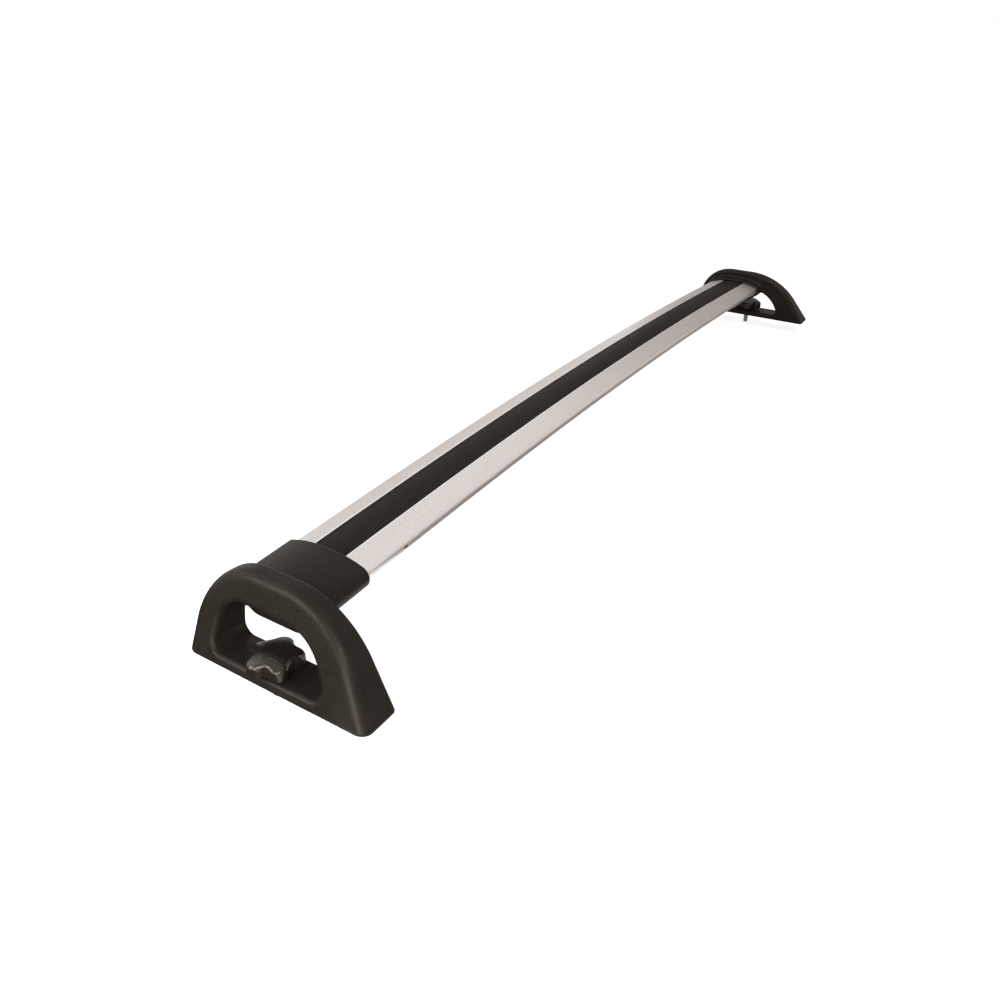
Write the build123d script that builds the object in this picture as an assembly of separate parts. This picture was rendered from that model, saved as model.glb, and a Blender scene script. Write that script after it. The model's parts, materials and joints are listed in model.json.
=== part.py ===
"""Roof rack crossbar: an arched aluminium wing bar carried by two moulded feet.

Frame: X runs along the bar, with the sliding left foot at -X and the fixed right foot at +X.
Y runs along the feet, with their steep noses at +Y and their long tails at -Y. Z is up.
The origin lies midway between the two clamp studs, on the rail plane that the feet rest on.
All sizes are in millimetres.
"""
import os
from math import asin, degrees, radians, tan

from build123d import *

os.makedirs("parts", exist_ok=True)

# Clamp studs, and the bow of the bar between the middles of the feet
stud_spacing = 972.0
stud_outset = 1.0
bow_rise = 12.7
lip_height_at_feet = 49.8
bar_forward = 15.0

# Bar section, measured from the middle of the line that joins its two lips
bar_crown = 1.1
bar_depth = 23.0
bar_corner_y = 40.6
bar_corner_drop = 7.4
bar_bottom_half = 19.0
bar_corner_radius = 5.5
bar_bottom_radius = 10.0
bar_wall = 2.0
bar_left_inset = 35.0
bar_end_gap = 0.1

# Channel along the top of the bar, and the rubber strip that fills it
mouth_half = 14.4
lip_thickness = 1.5
lip_radius = 0.5
channel_undercut = 2.0
channel_depth = 5.5
strip_clearance = 0.2
strip_edge_drop = 1.2
strip_crown = 0.9
strip_edge_radius = 1.6
strip_setback = 4.0

# Screw ports inside the bar, and the tapping screws of the fixed foot
port_y = 16.0
port_wall = 2.0
screw_radius = 2.1
port_clearance = 0.1
screw_length = 26.0
screw_head_radius = 4.4
screw_head_height = 2.8
screw_clearance = 0.4
head_chamfer = 1.2
shank_chamfer = 0.9
recess_length = 5.0
recess_width = 1.2
recess_depth = 1.5

# Foot: a D-shaped frame, wide at its base and narrow at its top
foot_nose = 71.0
foot_nose_draft = 7.0
foot_tail = 87.0
foot_height = 65.4
foot_nose_radius = 45.0
foot_tail_radius = 75.0
foot_tail_angle = 57.3
foot_base_width = 31.8
foot_outer_lean = 19.5
foot_inner_lean = 5.2
foot_outer_round = 9.2
foot_inner_round = 3.5
foot_bottom_round = 1.8

# Finger window through the foot
window_nose = 48.2
window_tail = 54.0
window_top = 45.2
window_floor = 7.6
window_draft = 7.0
window_tail_angle = 62.0
window_nose_radius = 17.0
window_tail_radius = 38.0
floor_nose_radius = 9.0
floor_tail_radius = 6.0
window_outer_round = 4.2
window_inner_round = 2.2

# Sleeves that take the ends of the bar
sleeve_clearance = 0.35
sleeve_wall = 2.8
sleeve_end_inset = 15.5
sleeve_end_wall = 4.0
left_sleeve_reach = 69.0
right_collar_reach = 31.0
sleeve_root_round = 3.0
sleeve_mouth_round = 1.8

# Guide screw that keeps the sliding foot on the bar
slide_out = 10.0
slide_in = 10.0
guide_reach = 55.0
guide_radius = 2.5
guide_clearance = 0.4
guide_head_radius = 4.4
guide_head_height = 2.8
guide_boss_radius = 6.5
guide_boss_height = 2.5
guide_tip = 1.5

# Star knob
knob_radius = 19.5
knob_lobes = 5
lobe_radius = 6.4
knob_core_radius = 13.6
knob_valley_radius = 7.0
knob_rim_height = 8.4
knob_crown = 4.6
knob_round = 3.2
knob_under_chamfer = 1.8
knob_hub_radius = 8.5
knob_hub_height = 0.6
left_knob_angle = 18.0
right_knob_angle = -90.0

# Clamp stud and what it turns in
stud_radius = 3.0
stud_below_rail = 14.0
thread_top = 0.8
shank_radius = 3.4
stud_in_knob = 8.0
stud_tip_chamfer = 1.0
washer_radius = 8.0
washer_thickness = 1.0
shank_clearance = 0.1
bush_wall = 1.7
seat_clearance = 0.02
retainer_radius = 6.2
retainer_thickness = 0.9
retainer_gap = 0.4
counterbore_clearance = 1.2
counterbore_depth = 3.0

# Rubber pad let into the underside of each foot
pad_margin_x = 5.0
pad_margin_y = 9.0
pad_corner_radius = 7.0
pad_recess = 1.2
pad_proud = 0.4
pad_clearance = 0.15
pad_hole_margin = 1.0

# Values that follow from the ones above
stud_x = stud_spacing / 2
foot_mid_x = stud_x - stud_outset
bow_radius = (foot_mid_x**2 + bow_rise**2) / (2 * bow_rise)
lip_height_mid = lip_height_at_feet + bow_rise
bow_axis = Axis((0, 0, lip_height_mid - bow_radius), (0, 1, 0))
mid_bar = Pos(0, bar_forward, lip_height_mid)
bar_left_end = foot_mid_x - bar_left_inset
sleeve_end = foot_mid_x - sleeve_end_inset
left_mouth = foot_mid_x - left_sleeve_reach
right_mouth = foot_mid_x - right_collar_reach
guide_x = foot_mid_x - guide_reach
channel_half = mouth_half + channel_undercut
sleeve_floor = bar_depth + sleeve_clearance + sleeve_wall
cavity_end = sleeve_end - sleeve_end_wall
bar_right_end = cavity_end - bar_end_gap
port_radius = screw_radius + port_clearance
port_drop = bar_depth - port_wall - port_radius
ports = [(side * port_y, -port_drop) for side in (-1, 1)]
guide_hole_radius = guide_radius + seat_clearance
counterbore_radius = retainer_radius + counterbore_clearance
bush_radius = shank_radius + shank_clearance + bush_wall
hub_bottom = window_floor + washer_thickness
knob_bottom = hub_bottom + knob_hub_height
knob_top = knob_bottom + knob_rim_height + knob_crown
reach = 100.0
trim = 10.0


def bow_angle(x):
    """Turn about the bow axis that carries the middle of the bar out to the place x."""
    return degrees(asin(x / bow_radius))


def on_bar(shape, x):
    """Shape made at mid-bar, carried along the bow to the place x."""
    return (mid_bar * shape).rotate(bow_axis, bow_angle(x))


def along_bar(section, x_from, x_to):
    """Solid with the given section that follows the bow from x_from to x_to."""
    start = on_bar(Plane.YZ * section, x_from)
    return revolve(start, axis=bow_axis, revolution_arc=bow_angle(x_to) - bow_angle(x_from))


def rounded(*corners):
    """Flat shape with straight sides; each corner is given as (x, y, radius)."""
    points = [(x, y) for x, y, radius in corners]
    radii = [radius for x, y, radius in corners]
    return make_face(FilletPolyline(*points, radius=radii, close=True))


def soften(solid, edges, radius):
    """Round the edges with the radius, or with the largest share of it that the form takes."""
    for share in (1, 0.8, 0.6, 0.4, 0.2):
        try:
            softened = fillet(edges, radius * share)
        except ValueError:
            continue
        if softened.is_valid:
            return softened
    return solid


def upright(radius, low, high):
    """Cylinder round the Z axis between two heights."""
    return Pos(0, 0, (low + high) / 2) * Cylinder(radius, high - low)


def ring(outer, inner, low, high):
    """Upright ring between two heights."""
    return upright(outer, low, high) - upright(inner, low, high)


def slab(half, low, high):
    """Rectangle of the section between two heights, centred on the bar."""
    return Pos(0, (low + high) / 2) * Rectangle(2 * half, high - low)


def bar_outline(grow=0.0):
    """Outline of the wing section, grown outwards by a clearance or a wall."""
    corner = (bar_corner_y, -bar_corner_drop)
    opposite = (-bar_corner_y, -bar_corner_drop)
    top = ThreePointArc(opposite, (0, bar_crown), corner)
    under = Polyline(corner, (bar_bottom_half, -bar_depth), (-bar_bottom_half, -bar_depth), opposite)
    wing = make_face([top, under])
    wing = fillet(wing.vertices().sort_by(Axis.Y)[2:], bar_corner_radius)
    wing = fillet(wing.vertices().sort_by(Axis.Y)[:2], bar_bottom_radius)
    return offset(wing, grow) if grow else wing


def bar_section():
    """Hollow wing with an undercut channel on top and two screw ports inside."""
    mouth = slab(mouth_half, -channel_depth, reach)
    channel = mouth + slab(channel_half, -channel_depth, -lip_thickness)
    channel_walls = slab(channel_half + bar_wall, -channel_depth - bar_wall, reach)
    hollow = bar_outline(-bar_wall) - channel_walls
    for y, z in ports:
        hollow -= Pos(y, z) * Circle(port_radius + port_wall)
    metal = bar_outline() - hollow - channel
    lips = [v for v in metal.vertices() if v.Y > -lip_thickness / 2 and abs(v.X) < channel_half]
    metal = fillet(lips, lip_radius)
    for y, z in ports:
        metal -= Pos(y, z) * Circle(port_radius)
    return metal


def bar_extrusion():
    """The bent extrusion, with a slot in its floor for the guide screw."""
    bar = along_bar(bar_section(), -bar_left_end, bar_right_end)
    slot_half_width = guide_radius + guide_clearance
    slot = SlotCenterToCenter(slide_out + slide_in, 2 * slot_half_width)
    slot = Pos(0, 0, -bar_depth) * extrude(slot, 2 * bar_wall, both=True)
    return bar - on_bar(slot, -guide_x - (slide_out - slide_in) / 2)


def rubber_strip():
    """Strip with a pillow top between the lips and a wider root hooked under them."""
    half = mouth_half - strip_clearance
    edge = (half, -strip_edge_drop)
    opposite = (-half, -strip_edge_drop)
    top = ThreePointArc(opposite, (0, strip_crown), edge)
    sides = Polyline(edge, (half, -channel_depth), (-half, -channel_depth), opposite)
    pillow = make_face([top, sides])
    pillow = fillet(pillow.vertices().sort_by(Axis.Y)[2:], strip_edge_radius)
    root = slab(channel_half - strip_clearance, -channel_depth, -lip_thickness - strip_clearance)
    return along_bar(pillow + root, -bar_left_end + strip_setback, bar_right_end - strip_setback)


def run_in(rise, angle):
    """How far a slope at the angle moves in while it climbs the rise."""
    return rise / tan(radians(angle))


def foot_x(height, side):
    """Place of the left foot's outer (-1) or inner (1) face at a height; both lean inwards."""
    lean = foot_outer_lean if side < 0 else foot_inner_lean
    return -foot_mid_x + side * foot_base_width / 2 + height * tan(radians(lean))


def side_face(solid, side):
    """Flat face that looks most nearly outwards (-1) or inwards (1) along the bar."""
    return max(solid.faces().filter_by(GeomType.PLANE), key=lambda face: side * face.normal_at().X)


def foot_outline(depth):
    """Outline of the foot, at a depth inwards from the outer edge of its base."""
    nose = foot_nose - depth * tan(radians(foot_nose_draft))
    low = -trim
    return rounded(
        (nose, low, 0),
        (nose, foot_height, foot_nose_radius),
        (run_in(foot_height, foot_tail_angle) - foot_tail, foot_height, foot_tail_radius),
        (run_in(low, foot_tail_angle) - foot_tail, low, 0),
    )


def window_outline(depth):
    """Outline of the finger window, at the same kind of depth; its nose and ceiling close in."""
    inset = depth * tan(radians(window_draft))
    nose = window_nose - inset
    top = window_top - inset
    return rounded(
        (nose, window_floor, floor_nose_radius),
        (nose, top, window_nose_radius),
        (run_in(top, window_tail_angle) - window_tail, top, window_tail_radius),
        (run_in(window_floor, window_tail_angle) - window_tail, window_floor, floor_tail_radius),
    )


def drafted(outline):
    """Solid through the left foot along X, whose outline changes steadily with the depth."""
    places = [-foot_mid_x + side * foot_base_width for side in (-1, 1)]
    return loft([Plane.YZ.offset(x) * outline(x - foot_x(0, -1)) for x in places], ruled=True)


def foot_frame():
    """D-shaped frame of the left foot with its window, all long edges rounded."""
    low = -trim
    wedge = rounded(
        (foot_x(low, -1), low, 0),
        (foot_x(low, 1), low, 0),
        (foot_x(reach, 1), reach, 0),
        (foot_x(reach, -1), reach, 0),
    )
    frame = drafted(foot_outline) - drafted(window_outline)
    frame &= extrude(Plane.XZ * wedge, foot_nose + foot_tail + reach, both=True)
    rounds = ((-1, foot_outer_round, window_outer_round), (1, foot_inner_round, window_inner_round))
    for side, rim_round, window_round in rounds:
        face = side_face(frame, side)
        rim = [edge for edge in face.outer_wire().edges() if edge.center().Z > low + 1]
        frame = soften(frame, rim, rim_round)
        frame = soften(frame, side_face(frame, side).inner_wires()[0].edges(), window_round)
    return frame & Pos(-foot_mid_x, 0, pad_proud + reach / 2) * Box(reach, 4 * reach, reach)


def sleeve(mouth):
    """Closed sleeve round the end of the bar, rounded at its mouth."""
    body = along_bar(bar_outline(sleeve_clearance + sleeve_wall), -sleeve_end, -mouth)
    rim = body.faces().sort_by(Axis.X)[-1].edges()
    return soften(body, rim, sleeve_mouth_round)


def foot(mouth):
    """Left-hand foot: frame and sleeve moulded as one, bored for the stud, recessed for the pad."""
    frame = foot_frame()
    tube = sleeve(mouth)
    body = frame + tube
    root = [e for e in new_edges(frame, tube, combined=body)
            if abs(e.center().X - foot_x(e.center().Z, 1)) < 0.05]
    body = soften(body, root, sleeve_root_round)
    underside = body.faces().filter_by(GeomType.PLANE).sort_by(Axis.Z)[0]
    body = soften(body, underside.outer_wire().edges(), foot_bottom_round)
    body -= along_bar(bar_outline(sleeve_clearance), -cavity_end, -mouth + reach)
    at_stud = Pos(-stud_x, 0, 0)
    body -= at_stud * upright(bush_radius + seat_clearance, 0, window_floor + 1)
    body -= at_stud * upright(counterbore_radius, 0, counterbore_depth)
    return body - pad_shape(0, pad_recess + pad_proud)


def pad_shape(shrink, top):
    """Block with the outline of the left foot's pad, from the rail plane up to a height."""
    width = foot_base_width - 2 * pad_margin_x - 2 * shrink
    length = foot_nose + foot_tail - 2 * pad_margin_y - 2 * shrink
    outline = RectangleRounded(width, length, pad_corner_radius - shrink)
    return Pos(-foot_mid_x, (foot_nose - foot_tail) / 2, 0) * extrude(outline, top)


def sliding_foot():
    """Left foot: a long sleeve with a boss below it for the guide screw."""
    body = foot(left_mouth)
    boss = on_bar(upright(guide_boss_radius, -sleeve_floor - guide_boss_height, -bar_depth - sleeve_clearance),
                  -guide_x)
    boss -= along_bar(bar_outline(sleeve_clearance), -cavity_end, -left_mouth + reach)
    hole = on_bar(upright(guide_hole_radius, -sleeve_floor - reach, -bar_depth), -guide_x)
    return body + boss - hole


def fixed_foot():
    """Right foot: a short collar whose end wall is drilled for the tapping screws."""
    body = mirror(foot(right_mouth), about=Plane.YZ)
    for y, z in ports:
        body -= on_bar(Pos(0, y, z) * Rot(0, 90, 0) * Cylinder(screw_radius + screw_clearance, reach), sleeve_end)
    return body


def cross_recess(face_height):
    """Crossed slots sunk into the top of a screw's head."""
    bar = Box(recess_length, recess_width, 2 * recess_depth)
    return Pos(0, 0, face_height) * (bar + Rot(0, 0, 90) * bar)


def pan_screw(radius, length, head_radius, head_height):
    """Pan-head screw pointing down, with the seat of its head at z = 0."""
    head = upright(head_radius, 0, head_height)
    head = chamfer(head.edges().group_by(Axis.Z)[-1], head_chamfer)
    shank = upright(radius, -length, 0)
    shank = chamfer(shank.edges().group_by(Axis.Z)[0], shank_chamfer)
    return head + shank - cross_recess(head_height)


def end_screws():
    """Tapping screws driven along the bar, through the fixed foot's end wall, into the ports."""
    screw = Rot(0, 90, 0) * pan_screw(screw_radius, screw_length, screw_head_radius, screw_head_height)
    return Compound([on_bar(Pos(0, y, z) * screw, sleeve_end) for y, z in ports])


def guide_screw():
    """Screw driven up through the sleeve's boss into the slot in the bar's floor."""
    seat = -sleeve_floor - guide_boss_height
    length = -bar_depth + bar_wall + guide_tip - seat
    screw = Rot(180, 0, 0) * pan_screw(guide_radius, length, guide_head_radius, guide_head_height)
    return on_bar(Pos(0, 0, seat) * screw, -guide_x)


def knob():
    """Star knob on the Z axis: rounded lobes under one domed top, and a round hub below."""
    arm = knob_radius - lobe_radius
    star = Circle(knob_core_radius) + PolarLocations(arm, knob_lobes) * Circle(lobe_radius)
    star = offset(offset(star, knob_valley_radius), -knob_valley_radius)
    body = Pos(0, 0, knob_bottom) * extrude(star, knob_rim_height + knob_crown)
    ball_radius = (knob_radius**2 + knob_crown**2) / (2 * knob_crown)
    body &= Pos(0, 0, knob_top - ball_radius) * Sphere(ball_radius)
    body = soften(body, body.faces().sort_by(Axis.Z)[-1].outer_wire().edges(), knob_round)
    body = chamfer(body.edges().group_by(Axis.Z)[0], knob_under_chamfer)
    body += upright(knob_hub_radius, hub_bottom, knob_bottom + 1)
    return body - upright(shank_radius, 0, knob_bottom + stud_in_knob)


def stud():
    """Steel stud moulded into the knob: a plain shank, then the thread's rod with a chamfered tip."""
    rod = upright(stud_radius, -stud_below_rail, thread_top)
    rod = chamfer(rod.edges().group_by(Axis.Z)[0], stud_tip_chamfer)
    return rod + upright(shank_radius, thread_top, knob_bottom + stud_in_knob)


def clamp_pieces():
    """Pieces round one stud, made on the Z axis."""
    bore = shank_radius + shank_clearance
    retainer_top = counterbore_depth - retainer_gap
    return {
        "stud": stud(),
        "washer": ring(washer_radius, bore, window_floor, hub_bottom),
        "bush": ring(bush_radius, bore, counterbore_depth, window_floor),
        "retainer": ring(retainer_radius, shank_radius, retainer_top - retainer_thickness, retainer_top),
    }


def base_pad():
    """Rubber pad of the left foot, pierced round the stud."""
    hole = upright(counterbore_radius + pad_hole_margin, 0, reach)
    return pad_shape(pad_clearance, pad_recess + pad_proud) - Pos(-stud_x, 0, 0) * hole


def all_pieces():
    """Every piece of the crossbar by its name."""
    pieces = {
        "bar_extrusion": bar_extrusion(),
        "rubber_strip": rubber_strip(),
        "left_foot": sliding_foot(),
        "right_foot": fixed_foot(),
        "right_end_screws": end_screws(),
        "left_guide_screw": guide_screw(),
        "left_base_pad": base_pad(),
        "right_base_pad": mirror(base_pad(), about=Plane.YZ),
    }
    star = knob()
    for side, x, angle in (("left", -stud_x, left_knob_angle), ("right", stud_x, right_knob_angle)):
        pieces[f"{side}_knob"] = Pos(x, 0, 0) * Rot(0, 0, angle) * star
        for name, piece in clamp_pieces().items():
            pieces[f"{side}_{name}"] = Pos(x, 0, 0) * piece
    return pieces


for node, shape in all_pieces().items():
    export_step(shape, f"parts/{node}.step")
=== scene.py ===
"""Roof rack crossbar: finishes, threaded studs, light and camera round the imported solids."""
import json
from math import radians

import bpy
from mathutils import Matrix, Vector


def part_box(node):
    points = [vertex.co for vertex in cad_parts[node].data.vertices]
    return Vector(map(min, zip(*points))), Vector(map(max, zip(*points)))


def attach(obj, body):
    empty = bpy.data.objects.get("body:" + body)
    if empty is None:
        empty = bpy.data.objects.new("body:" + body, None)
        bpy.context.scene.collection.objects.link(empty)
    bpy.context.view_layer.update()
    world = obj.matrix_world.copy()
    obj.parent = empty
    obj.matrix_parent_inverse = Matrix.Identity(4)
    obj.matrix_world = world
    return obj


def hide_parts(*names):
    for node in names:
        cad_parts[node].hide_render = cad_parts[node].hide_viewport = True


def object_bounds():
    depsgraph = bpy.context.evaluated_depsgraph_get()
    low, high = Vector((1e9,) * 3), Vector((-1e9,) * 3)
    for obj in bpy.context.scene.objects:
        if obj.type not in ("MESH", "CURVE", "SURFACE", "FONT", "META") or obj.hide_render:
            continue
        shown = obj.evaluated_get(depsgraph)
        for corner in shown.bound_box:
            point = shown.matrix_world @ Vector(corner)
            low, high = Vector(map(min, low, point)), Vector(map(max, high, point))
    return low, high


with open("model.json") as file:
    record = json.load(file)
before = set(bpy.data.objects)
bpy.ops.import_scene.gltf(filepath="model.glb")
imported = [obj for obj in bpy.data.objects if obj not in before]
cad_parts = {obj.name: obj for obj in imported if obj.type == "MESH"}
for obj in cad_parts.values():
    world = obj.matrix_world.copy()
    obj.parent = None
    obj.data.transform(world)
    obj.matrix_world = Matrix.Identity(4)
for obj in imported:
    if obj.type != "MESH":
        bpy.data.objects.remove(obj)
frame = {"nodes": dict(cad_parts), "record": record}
cad_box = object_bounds()
MM = 0.001

# Places on the bar that its finish follows: the strip's centre line,
# the lips beside the strip, which carry a painted highlight, and one nick
BAR_MIDDLE = 15.0 * MM
LIP_EDGE = 14.4 * MM
# The painted lip highlight is full out to this distance past the lip edge and gone by the next
LIP_HIGHLIGHT_FULL = 0.6 * MM
LIP_HIGHLIGHT_GONE = 1.4 * MM
NICK_PLACE = Vector((-372.0, -19.5, 45.9)) * MM
NICK_CORE = 0.5 * MM
NICK_RIM = 1.3 * MM
NICK_SQUEEZE = (0.4, 1.0, 1.0)
NICK_COVER = 0.95
# Lines from an extrusion die run along X, so patterns are stretched that way
DRAWN_OUT = (0.02, 1.0, 1.0)


def srgb(code):
    """Linear colour with alpha from an sRGB hex code."""
    channels = [int(code[i:i + 2], 16) / 255 for i in (1, 3, 5)]
    linear = [c / 12.92 if c <= 0.04045 else ((c + 0.055) / 1.055) ** 2.4 for c in channels]
    return (*linear, 1.0)


def per_mm(size):
    """Scale of a texture whose features are about this many millimetres across."""
    return 1.0 / (size * MM)


def node(tree, kind, links=None, inputs=None, stops=(), **settings):
    """Add a shader node.

    Settings are its options, inputs its values, links its wires,
    and stops a ramp's colours by place.
    """
    made = tree.nodes.new(kind)
    for name, value in settings.items():
        setattr(made, name, value)
    for element, (place, code) in zip(made.color_ramp.elements if stops else (), stops):
        element.position, element.color = place, srgb(code)
    for name, value in (inputs or {}).items():
        made.inputs[name].default_value = value
    for name, source in (links or {}).items():
        tree.links.new(source, made.inputs[name])
    return made


def blank_material(name):
    """New material, its node tree and the shader in it."""
    material = bpy.data.materials.new(name)
    material.use_nodes = True
    tree = material.node_tree
    return material, tree, tree.nodes["Principled BSDF"]


def moulded_nylon():
    """Glass-filled nylon from a spark-eroded mould.

    Warm black with a fine grain, a soft shine and a few dust specks.
    """
    material, tree, shader = blank_material("glass_filled_nylon_grained")
    place = node(tree, "ShaderNodeTexCoord").outputs["Object"]
    # The real grain is near 0.3 mm; it is drawn at about 1 mm so that it shows at this distance
    grain = node(tree, "ShaderNodeTexNoise", links={"Vector": place},
                 inputs={"Scale": per_mm(1.1), "Detail": 2.0, "Roughness": 0.6})
    cloud = node(tree, "ShaderNodeTexNoise", links={"Vector": place},
                 inputs={"Scale": per_mm(28), "Detail": 2.0, "Roughness": 0.5})
    dust = node(tree, "ShaderNodeTexVoronoi", links={"Vector": place}, inputs={"Scale": per_mm(26)})
    body = node(tree, "ShaderNodeValToRGB", links={"Fac": cloud.outputs["Fac"]},
                stops=((0.35, "#191612"), (0.7, "#1f1b17")))
    flecks = node(tree, "ShaderNodeValToRGB", links={"Fac": grain.outputs["Fac"]},
                  stops=((0.4, "#000000"), (0.7, "#25201b")))
    grained = node(tree, "ShaderNodeMix", data_type="RGBA", blend_type="ADD",
                   links={"A": body.outputs["Color"], "B": flecks.outputs["Color"]},
                   inputs={"Factor": 0.5})
    specks = node(tree, "ShaderNodeValToRGB", links={"Fac": dust.outputs["Distance"]},
                  stops=((0.014, "#4e473f"), (0.024, "#000000")))
    colour = node(tree, "ShaderNodeMix", data_type="RGBA", blend_type="LIGHTEN",
                  links={"A": grained.outputs["Result"], "B": specks.outputs["Color"]},
                  inputs={"Factor": 1.0})
    tree.links.new(colour.outputs["Result"], shader.inputs["Base Color"])
    gloss = node(tree, "ShaderNodeMapRange", links={"Value": cloud.outputs["Fac"]},
                 inputs={"To Min": 0.32, "To Max": 0.38})
    tree.links.new(gloss.outputs["Result"], shader.inputs["Roughness"])
    relief = node(tree, "ShaderNodeBump", links={"Height": grain.outputs["Fac"]},
                  inputs={"Strength": 0.35, "Distance": 0.15 * MM})
    tree.links.new(relief.outputs["Normal"], shader.inputs["Normal"])
    shader.inputs["IOR"].default_value = 1.53
    shader.inputs["Specular IOR Level"].default_value = 0.11
    shader.inputs["Specular Tint"].default_value = srgb("#fff0e4")
    return material


def anodised_aluminium():
    """Extruded aluminium, blasted then anodised.

    Pale satin silver with a fine speckle over faint draw lines.
    """
    material, tree, shader = blank_material("aluminium_satin_anodised")
    place = node(tree, "ShaderNodeTexCoord").outputs["Object"]
    # The blasted pits are finer than 0.1 mm; they are drawn at about 1 mm so that they show
    speckle = node(tree, "ShaderNodeTexNoise", links={"Vector": place},
                   inputs={"Scale": per_mm(1.0), "Detail": 2.0, "Roughness": 0.7})
    stretched = node(tree, "ShaderNodeMapping", links={"Vector": place},
                     inputs={"Scale": DRAWN_OUT})
    draw_lines = node(tree, "ShaderNodeTexNoise", links={"Vector": stretched.outputs["Vector"]},
                      inputs={"Scale": per_mm(2.5), "Detail": 2.0, "Roughness": 0.5})
    base = node(tree, "ShaderNodeValToRGB", links={"Fac": speckle.outputs["Fac"]},
                stops=((0.3, "#d5ceca"), (0.7, "#eae4e0")))
    lines = node(tree, "ShaderNodeValToRGB", links={"Fac": draw_lines.outputs["Fac"]},
                 stops=((0.3, "#efeeed"), (0.7, "#ffffff")))
    drawn = node(tree, "ShaderNodeMix", data_type="RGBA", blend_type="MULTIPLY",
                 links={"A": base.outputs["Color"], "B": lines.outputs["Color"]},
                 inputs={"Factor": 0.25})
    # Painted highlight: the lips beside the strip are painted bright over about 1 mm, for the light
    # their rounded edges catch
    apart = node(tree, "ShaderNodeSeparateXYZ", links={"Vector": place})
    across = node(tree, "ShaderNodeMath", operation="SUBTRACT", links={0: apart.outputs["Y"]},
                  inputs={1: BAR_MIDDLE})
    across = node(tree, "ShaderNodeMath", operation="ABSOLUTE", links={0: across.outputs[0]})
    lip_highlight_mask = node(tree, "ShaderNodeMapRange", links={"Value": across.outputs[0]},
               inputs={"From Min": LIP_EDGE + LIP_HIGHLIGHT_FULL, "From Max": LIP_EDGE + LIP_HIGHLIGHT_GONE,
                       "To Min": 1.0, "To Max": 0.0})
    lip_highlighted = node(tree, "ShaderNodeMix", data_type="RGBA",
                  links={"Factor": lip_highlight_mask.outputs["Result"], "A": drawn.outputs["Result"]},
                  inputs={"B": srgb("#f8f6f4")})
    # One dark nick, about 5 mm long and 2 mm high, on the lower edge near the sliding foot
    near = node(tree, "ShaderNodeMapping", links={"Vector": place},
                inputs={"Location": -NICK_PLACE * Vector(NICK_SQUEEZE), "Scale": NICK_SQUEEZE})
    away = node(tree, "ShaderNodeVectorMath", operation="LENGTH", links={0: near.outputs["Vector"]})
    nick = node(tree, "ShaderNodeMapRange", links={"Value": away.outputs["Value"]},
                inputs={"From Min": NICK_CORE, "From Max": NICK_RIM,
                        "To Min": NICK_COVER, "To Max": 0.0})
    colour = node(tree, "ShaderNodeMix", data_type="RGBA",
                  links={"Factor": nick.outputs["Result"], "A": lip_highlighted.outputs["Result"]},
                  inputs={"B": srgb("#3a322d")})
    tree.links.new(colour.outputs["Result"], shader.inputs["Base Color"])
    gloss = node(tree, "ShaderNodeMapRange", links={"Value": speckle.outputs["Fac"]},
                 inputs={"To Min": 0.36, "To Max": 0.46})
    tree.links.new(gloss.outputs["Result"], shader.inputs["Roughness"])
    relief = node(tree, "ShaderNodeBump", links={"Height": speckle.outputs["Fac"]},
                  inputs={"Strength": 0.15, "Distance": 0.06 * MM})
    tree.links.new(relief.outputs["Normal"], shader.inputs["Normal"])
    shader.inputs["Metallic"].default_value = 1.0
    return material


def strip_rubber():
    """Extruded EPDM rubber.

    Matte charcoal, slightly dusty, with faint lines along the extrusion.
    """
    material, tree, shader = blank_material("epdm_rubber_extruded")
    place = node(tree, "ShaderNodeTexCoord").outputs["Object"]
    stretched = node(tree, "ShaderNodeMapping", links={"Vector": place},
                     inputs={"Scale": DRAWN_OUT})
    lines = node(tree, "ShaderNodeTexNoise", links={"Vector": stretched.outputs["Vector"]},
                 inputs={"Scale": per_mm(1.2), "Detail": 3.0, "Roughness": 0.6})
    # The dust is finer than 0.2 mm; it is drawn at about 1 mm so that it shows
    dust = node(tree, "ShaderNodeTexNoise", links={"Vector": place},
                inputs={"Scale": per_mm(1.0), "Detail": 4.0, "Roughness": 0.7})
    body = node(tree, "ShaderNodeValToRGB", links={"Fac": lines.outputs["Fac"]},
                stops=((0.3, "#231c18"), (0.7, "#2b241f")))
    motes = node(tree, "ShaderNodeValToRGB", links={"Fac": dust.outputs["Fac"]},
                 stops=((0.5, "#000000"), (0.75, "#26231f")))
    colour = node(tree, "ShaderNodeMix", data_type="RGBA", blend_type="ADD",
                  links={"A": body.outputs["Color"], "B": motes.outputs["Color"]},
                  inputs={"Factor": 0.3})
    tree.links.new(colour.outputs["Result"], shader.inputs["Base Color"])
    relief = node(tree, "ShaderNodeBump", links={"Height": dust.outputs["Fac"]},
                  inputs={"Strength": 0.15, "Distance": 0.06 * MM})
    tree.links.new(relief.outputs["Normal"], shader.inputs["Normal"])
    shader.inputs["Roughness"].default_value = 0.5
    shader.inputs["Specular IOR Level"].default_value = 0.05
    return material


def pad_rubber():
    """Moulded rubber: dead matte black with a slight bloom."""
    material, tree, shader = blank_material("moulded_rubber_matte")
    place = node(tree, "ShaderNodeTexCoord").outputs["Object"]
    bloom = node(tree, "ShaderNodeTexNoise", links={"Vector": place},
                 inputs={"Scale": per_mm(4), "Detail": 4.0, "Roughness": 0.6})
    colour = node(tree, "ShaderNodeValToRGB", links={"Fac": bloom.outputs["Fac"]},
                  stops=((0.3, "#1f1d1b"), (0.75, "#2a2826")))
    tree.links.new(colour.outputs["Color"], shader.inputs["Base Color"])
    relief = node(tree, "ShaderNodeBump", links={"Height": bloom.outputs["Fac"]},
                  inputs={"Strength": 0.2, "Distance": 0.1 * MM})
    tree.links.new(relief.outputs["Normal"], shader.inputs["Normal"])
    shader.inputs["Roughness"].default_value = 0.8
    return material


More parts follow.
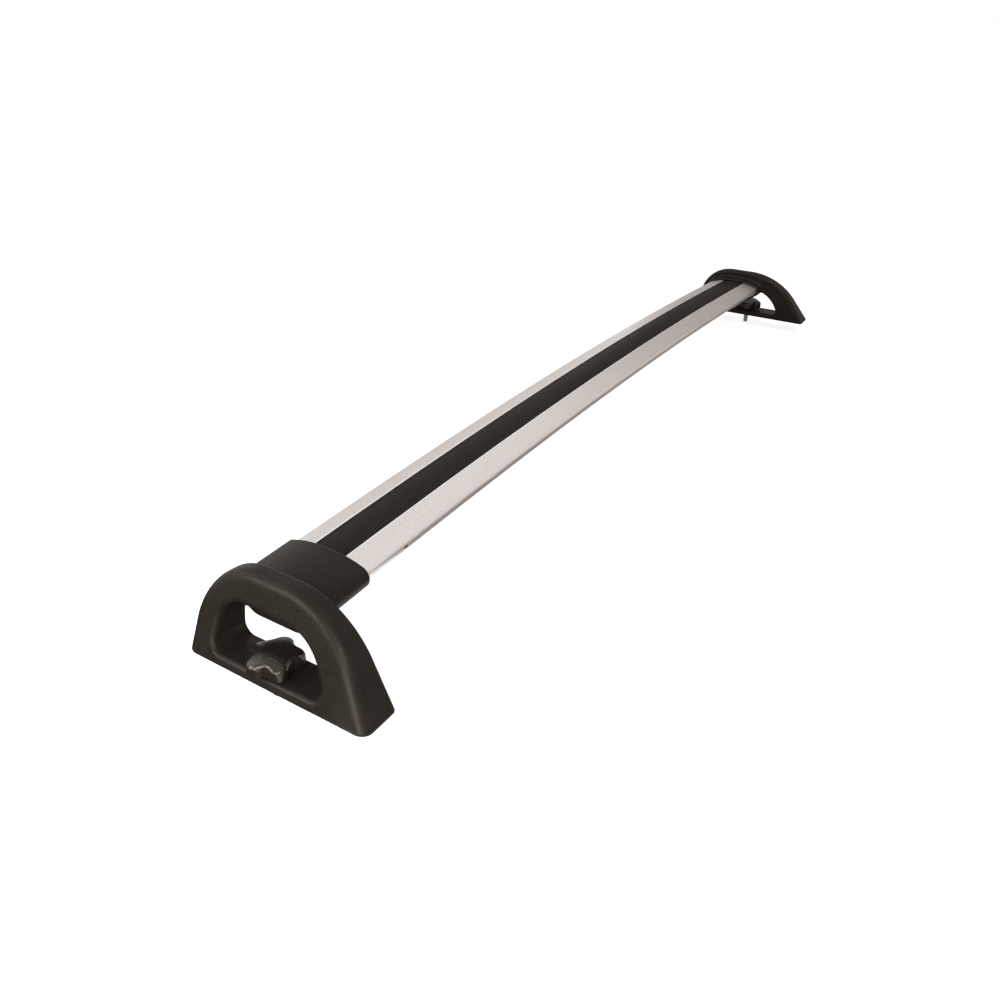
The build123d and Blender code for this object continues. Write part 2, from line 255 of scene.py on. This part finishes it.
def knob_plastic():
    """ABS from a smooth mould: black with a half gloss that breaks into small highlights."""
    material, tree, shader = blank_material("abs_half_gloss")
    place = node(tree, "ShaderNodeTexCoord").outputs["Object"]
    ripple = node(tree, "ShaderNodeTexNoise", links={"Vector": place},
                  inputs={"Scale": per_mm(1.8), "Detail": 2.0, "Roughness": 0.6})
    colour = node(tree, "ShaderNodeValToRGB", links={"Fac": ripple.outputs["Fac"]},
                  stops=((0.3, "#1a1612"), (0.7, "#241e19")))
    tree.links.new(colour.outputs["Color"], shader.inputs["Base Color"])
    gloss = node(tree, "ShaderNodeMapRange", links={"Value": ripple.outputs["Fac"]},
                 inputs={"To Min": 0.16, "To Max": 0.28})
    tree.links.new(gloss.outputs["Result"], shader.inputs["Roughness"])
    relief = node(tree, "ShaderNodeBump", links={"Height": ripple.outputs["Fac"]},
                  inputs={"Strength": 0.8, "Distance": 0.35 * MM})
    tree.links.new(relief.outputs["Normal"], shader.inputs["Normal"])
    shader.inputs["IOR"].default_value = 1.54
    shader.inputs["Specular IOR Level"].default_value = 0.45
    shader.inputs["Specular Tint"].default_value = srgb("#fff0e4")
    return material


def zinc_steel():
    """Zinc-plated steel: mid grey metal, faintly mottled by the plating bath."""
    material, tree, shader = blank_material("steel_zinc_plated")
    place = node(tree, "ShaderNodeTexCoord").outputs["Object"]
    mottle = node(tree, "ShaderNodeTexNoise", links={"Vector": place},
                  inputs={"Scale": per_mm(1.5), "Detail": 4.0, "Roughness": 0.65})
    colour = node(tree, "ShaderNodeValToRGB", links={"Fac": mottle.outputs["Fac"]},
                  stops=((0.3, "#a3a3a0"), (0.7, "#bdbcb8")))
    tree.links.new(colour.outputs["Color"], shader.inputs["Base Color"])
    gloss = node(tree, "ShaderNodeMapRange", links={"Value": mottle.outputs["Fac"]},
                 inputs={"To Min": 0.28, "To Max": 0.42})
    tree.links.new(gloss.outputs["Result"], shader.inputs["Roughness"])
    shader.inputs["Metallic"].default_value = 1.0
    return material


finishes = {
    "foot_plastic": moulded_nylon(),
    "anodised_aluminium": anodised_aluminium(),
    "strip_rubber": strip_rubber(),
    "pad_rubber": pad_rubber(),
    "knob_plastic": knob_plastic(),
    "zinc_steel": zinc_steel(),
}
for subpart in frame["record"]["subparts"]:
    piece = frame["nodes"][subpart["node"]]
    piece.data.materials.clear()
    piece.data.materials.append(finishes[subpart["material_slot"]])

# Clamp studs: a rolled M6 thread with a chamfered tip,
# below a plain shank that goes up into the knob
PITCH = 1.0 * MM
THREAD_RADIUS = 3.0 * MM
TOOTH = 0.6 * MM
THREAD_TOP = 0.8 * MM
TIP_CHAMFER = 1.0 * MM
SHANK_RADIUS = 3.4 * MM
SHANK_LEAD = 0.35 * MM
# Root, flank, crest and flank of one tooth: each step outwards, and upwards in pitches
TOOTH_STEPS = ((0, 0.2), (TOOTH, 0.3), (0, 0.2), (-TOOTH, 0.3))
# The thread starts below the tip and ends past its top, and is then trimmed and cut to the blank
SPARE_PITCHES = 2
TRIM = 0.2 * PITCH
BLANK_EASE = 0.02 * MM
WELD = 0.002 * MM
SAME_HEIGHT = 0.01 * MM
ROD_SIDES = 48
SWEEP_STEPS = 32
SMOOTH_BELOW = radians(25)


def select_ring(piece, height):
    """Select, in edit mode, the edges of a piece that lie at one height."""
    bpy.ops.mesh.select_all(action="DESELECT")
    bpy.ops.object.mode_set(mode="OBJECT")
    for edge in piece.data.edges:
        heights = [piece.data.vertices[corner].co.z for corner in edge.vertices]
        edge.select = all(abs(z - height) < SAME_HEIGHT for z in heights)
    bpy.ops.object.mode_set(mode="EDIT")


def turned_rod(radius, low, high, chamfer):
    """Round rod between two heights with its lower rim chamfered, left active in object mode."""
    bpy.ops.object.select_all(action="DESELECT")
    bpy.ops.mesh.primitive_cylinder_add(vertices=ROD_SIDES, radius=radius, depth=high - low,
                                        location=(0, 0, (low + high) / 2))
    bpy.ops.object.transform_apply(location=True)
    rod = bpy.context.object
    bpy.ops.object.mode_set(mode="EDIT")
    bpy.ops.mesh.select_mode(type="EDGE")
    select_ring(rod, low)
    bpy.ops.mesh.bevel(offset=chamfer, segments=1, affect="EDGES")
    bpy.ops.object.mode_set(mode="OBJECT")
    return rod


def clamp_stud(low, high):
    """Stud on the Z axis.

    The thread is one tooth swept round as a screw and cut to a chamfered blank.
    """
    bpy.ops.object.select_all(action="DESELECT")
    bpy.ops.mesh.primitive_plane_add(size=PITCH)
    thread = bpy.context.object
    bpy.ops.object.mode_set(mode="EDIT")
    bpy.ops.mesh.select_all(action="SELECT")
    bpy.ops.mesh.merge(type="CENTER")
    bpy.ops.transform.translate(value=(THREAD_RADIUS - TOOTH, 0, low - SPARE_PITCHES * PITCH))
    for out, up in TOOTH_STEPS:
        bpy.ops.mesh.extrude_region_move(TRANSFORM_OT_translate={"value": (out, 0, up * PITCH)})
    bpy.ops.object.mode_set(mode="OBJECT")
    sweep = thread.modifiers.new("sweep", "SCREW")
    sweep.screw_offset = PITCH
    sweep.iterations = round((THREAD_TOP - low) / PITCH) + 2 * SPARE_PITCHES
    sweep.steps = sweep.render_steps = SWEEP_STEPS
    bpy.ops.object.modifier_apply(modifier="sweep")
    bpy.ops.object.mode_set(mode="EDIT")
    bpy.ops.mesh.select_all(action="SELECT")
    bpy.ops.mesh.remove_doubles(threshold=WELD)
    for height, above in ((low - TRIM, False), (THREAD_TOP + TRIM, True)):
        bpy.ops.mesh.select_all(action="SELECT")
        bpy.ops.mesh.bisect(plane_co=(0, 0, height), plane_no=(0, 0, 1), use_fill=True,
                            clear_outer=above, clear_inner=not above)
    bpy.ops.mesh.select_all(action="SELECT")
    bpy.ops.mesh.normals_make_consistent(inside=False)
    bpy.ops.object.mode_set(mode="OBJECT")
    blank = turned_rod(THREAD_RADIUS - BLANK_EASE, low, THREAD_TOP + TRIM / 2, TIP_CHAMFER)
    bpy.ops.object.select_all(action="DESELECT")
    thread.select_set(True)
    bpy.context.view_layer.objects.active = thread
    cut = thread.modifiers.new("cut", "BOOLEAN")
    cut.operation = "INTERSECT"
    cut.object = blank
    bpy.ops.object.modifier_apply(modifier="cut")
    bpy.data.objects.remove(blank)
    turned_rod(SHANK_RADIUS, THREAD_TOP, high, SHANK_LEAD)
    thread.select_set(True)
    bpy.context.view_layer.objects.active = thread
    bpy.ops.object.join()
    bpy.ops.object.shade_smooth_by_angle(angle=SMOOTH_BELOW)
    return thread


left_low, left_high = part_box("left_stud")
right_low, right_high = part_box("right_stud")
left_thread = clamp_stud(left_low[2], left_high[2])
bpy.ops.object.duplicate()
right_thread = bpy.context.object
for side, piece, low, high in (("left", left_thread, left_low, left_high),
                               ("right", right_thread, right_low, right_high)):
    piece.name = f"{side}_threaded_stud"
    bpy.ops.object.select_all(action="DESELECT")
    piece.select_set(True)
    bpy.context.view_layer.objects.active = piece
    piece.location = ((low[0] + high[0]) / 2, (low[1] + high[1]) / 2, 0)
    bpy.ops.object.transform_apply(location=True)
    piece.data.materials.append(finishes["zinc_steel"])
    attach(piece, f"{side}_clamp")
    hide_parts(f"{side}_stud")

# Stage: a pale floor just under the studs and a white world
FLOOR_SIZE = 30
FLOOR_GAP = 0.2 * MM
CARD_GAP = 0.1 * MM
FLOOR_GLOW = 0.78
WORLD_FILL = 0.22
WORLD_WHITE = 1.0
floor_height = cad_box[0][2] - FLOOR_GAP
bpy.ops.object.select_all(action="DESELECT")
bpy.ops.mesh.primitive_plane_add(size=FLOOR_SIZE, location=(0, 0, floor_height))
floor = bpy.context.object
floor.name = "floor"
pale, floor_tree, shader = blank_material("pale_studio_floor")
shader.inputs["Base Color"].default_value = srgb("#f4f3f1")
shader.inputs["Roughness"].default_value = 0.9
shader.inputs["Emission Color"].default_value = srgb("#ffffff")
floor.data.materials.append(pale)

world = bpy.data.worlds.new("white_studio")
bpy.context.scene.world = world
world.use_nodes = True
sky = world.node_tree.nodes["Background"]
sky.inputs["Color"].default_value = srgb("#ffffff")

# The camera, reflections and clear things see floor and world white;
# other light gets only the weak fill
for tree, strength, hidden, seen in (
        (floor_tree, shader.inputs["Emission Strength"], 0.0, FLOOR_GLOW),
        (world.node_tree, sky.inputs["Strength"], WORLD_FILL, WORLD_WHITE)):
    ray = node(tree, "ShaderNodeLightPath").outputs
    direct = node(tree, "ShaderNodeMath", operation="MAXIMUM",
                  links={0: ray["Is Camera Ray"], 1: ray["Is Glossy Ray"]})
    direct = node(tree, "ShaderNodeMath", operation="MAXIMUM",
                  links={0: direct.outputs[0], 1: ray["Is Transmission Ray"]})
    level = node(tree, "ShaderNodeMapRange", links={"Value": direct.outputs[0]},
                 inputs={"To Min": hidden, "To Max": seen})
    tree.links.new(level.outputs["Result"], strength)


def soft_lamp(name, place, aim, size, watts):
    """Soft box turned towards its aim with its width level.

    It leaves the bright bar to the white studio.
    """
    bpy.ops.object.light_add(type="AREA", location=place)
    lamp = bpy.context.object
    lamp.name = name
    lamp.data.shape = "RECTANGLE"
    lamp.data.size, lamp.data.size_y = size
    lamp.data.energy = watts
    lamp.visible_camera = False
    lamp.rotation_euler = (Vector(aim) - Vector(place)).to_track_quat("-Z", "Y").to_euler()
    frame["nodes"]["bar_extrusion"].select_set(True)
    bpy.ops.object.light_linking_receivers_link(link_state="EXCLUDE")
    bpy.ops.object.select_all(action="DESELECT")


# Three boxes light the near foot from low, front and behind its crest,
# one lights the far foot, and one fills the back
soft_lamp("low_box", place=(-0.99, -0.2, 0.17), aim=(-0.49, -0.03, 0.02),
          size=(0.24, 0.24), watts=2.4)
soft_lamp("front_box", place=(-0.92, -0.35, 0.55), aim=(-0.45, 0.0, 0.03),
          size=(0.22, 0.22), watts=2.1)
soft_lamp("crest_box", place=(-0.93, 0.27, 0.37), aim=(-0.485, -0.01, 0.05),
          size=(0.42, 0.18), watts=2.6)
soft_lamp("far_box", place=(0.3, -0.35, 0.62), aim=(0.47, 0.0, 0.05),
          size=(0.25, 0.25), watts=1.3)
soft_lamp("back_box", place=(-0.7, 1.0, 0.9), aim=(0.0, 0.0, 0.0),
          size=(0.8, 0.8), watts=3.0)


def grey_card(name, place, aim, size, shade):
    """Card turned towards its aim that only reflections see.

    Photographers set such cards beside shiny things.
    """
    turn = (Vector(aim) - Vector(place)).to_track_quat("Z", "Y").to_euler()
    bpy.ops.mesh.primitive_plane_add(size=1, location=place, rotation=turn)
    card = bpy.context.object
    card.name = name
    card.scale = (*size, 1)
    card.visible_camera = card.visible_diffuse = False
    card.visible_shadow = card.visible_transmission = False
    paint, _, shader = blank_material(f"{name}_paint")
    shader.inputs["Base Color"].default_value = srgb("#000000")
    shader.inputs["Specular IOR Level"].default_value = 0.0
    shader.inputs["Emission Color"].default_value = srgb(shade)
    shader.inputs["Emission Strength"].default_value = 1.0
    card.data.materials.append(paint)


# The far card makes the bar fall off in brightness towards its far end,
# and the side card tones its back
grey_card("far_card", place=(1.05, -0.03, 0.23), aim=(0.45, -0.03, 0.23),
          size=(1.0, 1.0), shade="#a8a19b")
grey_card("side_card", place=(1.1, 1.2, 0.55), aim=(0.35, 0.3, 0.55),
          size=(1.0, 1.0), shade="#e4dfda")
# On the floor, the low and back cards shade the bar's edges,
# and the nose card keeps the near foot's nose dark
card_height = floor_height + CARD_GAP
for name, x, y, size, shade in (
        ("low_card", 0.335, -0.415, (1.33, 0.83), "#9c9690"),
        ("back_card", 0.29, 0.385, (1.42, 0.77), "#a8a29c"),
        ("nose_card", -0.92, 0.47, (1.0, 1.0), "#3a3632")):
    grey_card(name, place=(x, y, card_height), aim=(x, y, 1.0), size=size, shade=shade)

# Camera at the photograph's angle, framed for a square picture
bpy.ops.object.camera_add(location=(-0.8137, -0.36403, 0.39439),
                          rotation=[radians(turn) for turn in (67.251, -0.921, -57.753)])
camera = bpy.context.object
camera.data.sensor_width = 36
camera.data.lens = 32.571
camera.data.shift_x = 0.00829
camera.data.shift_y = -0.10002
camera.data.clip_start = 0.01
bpy.context.scene.camera = camera
bpy.context.scene.view_settings.view_transform = "Standard"
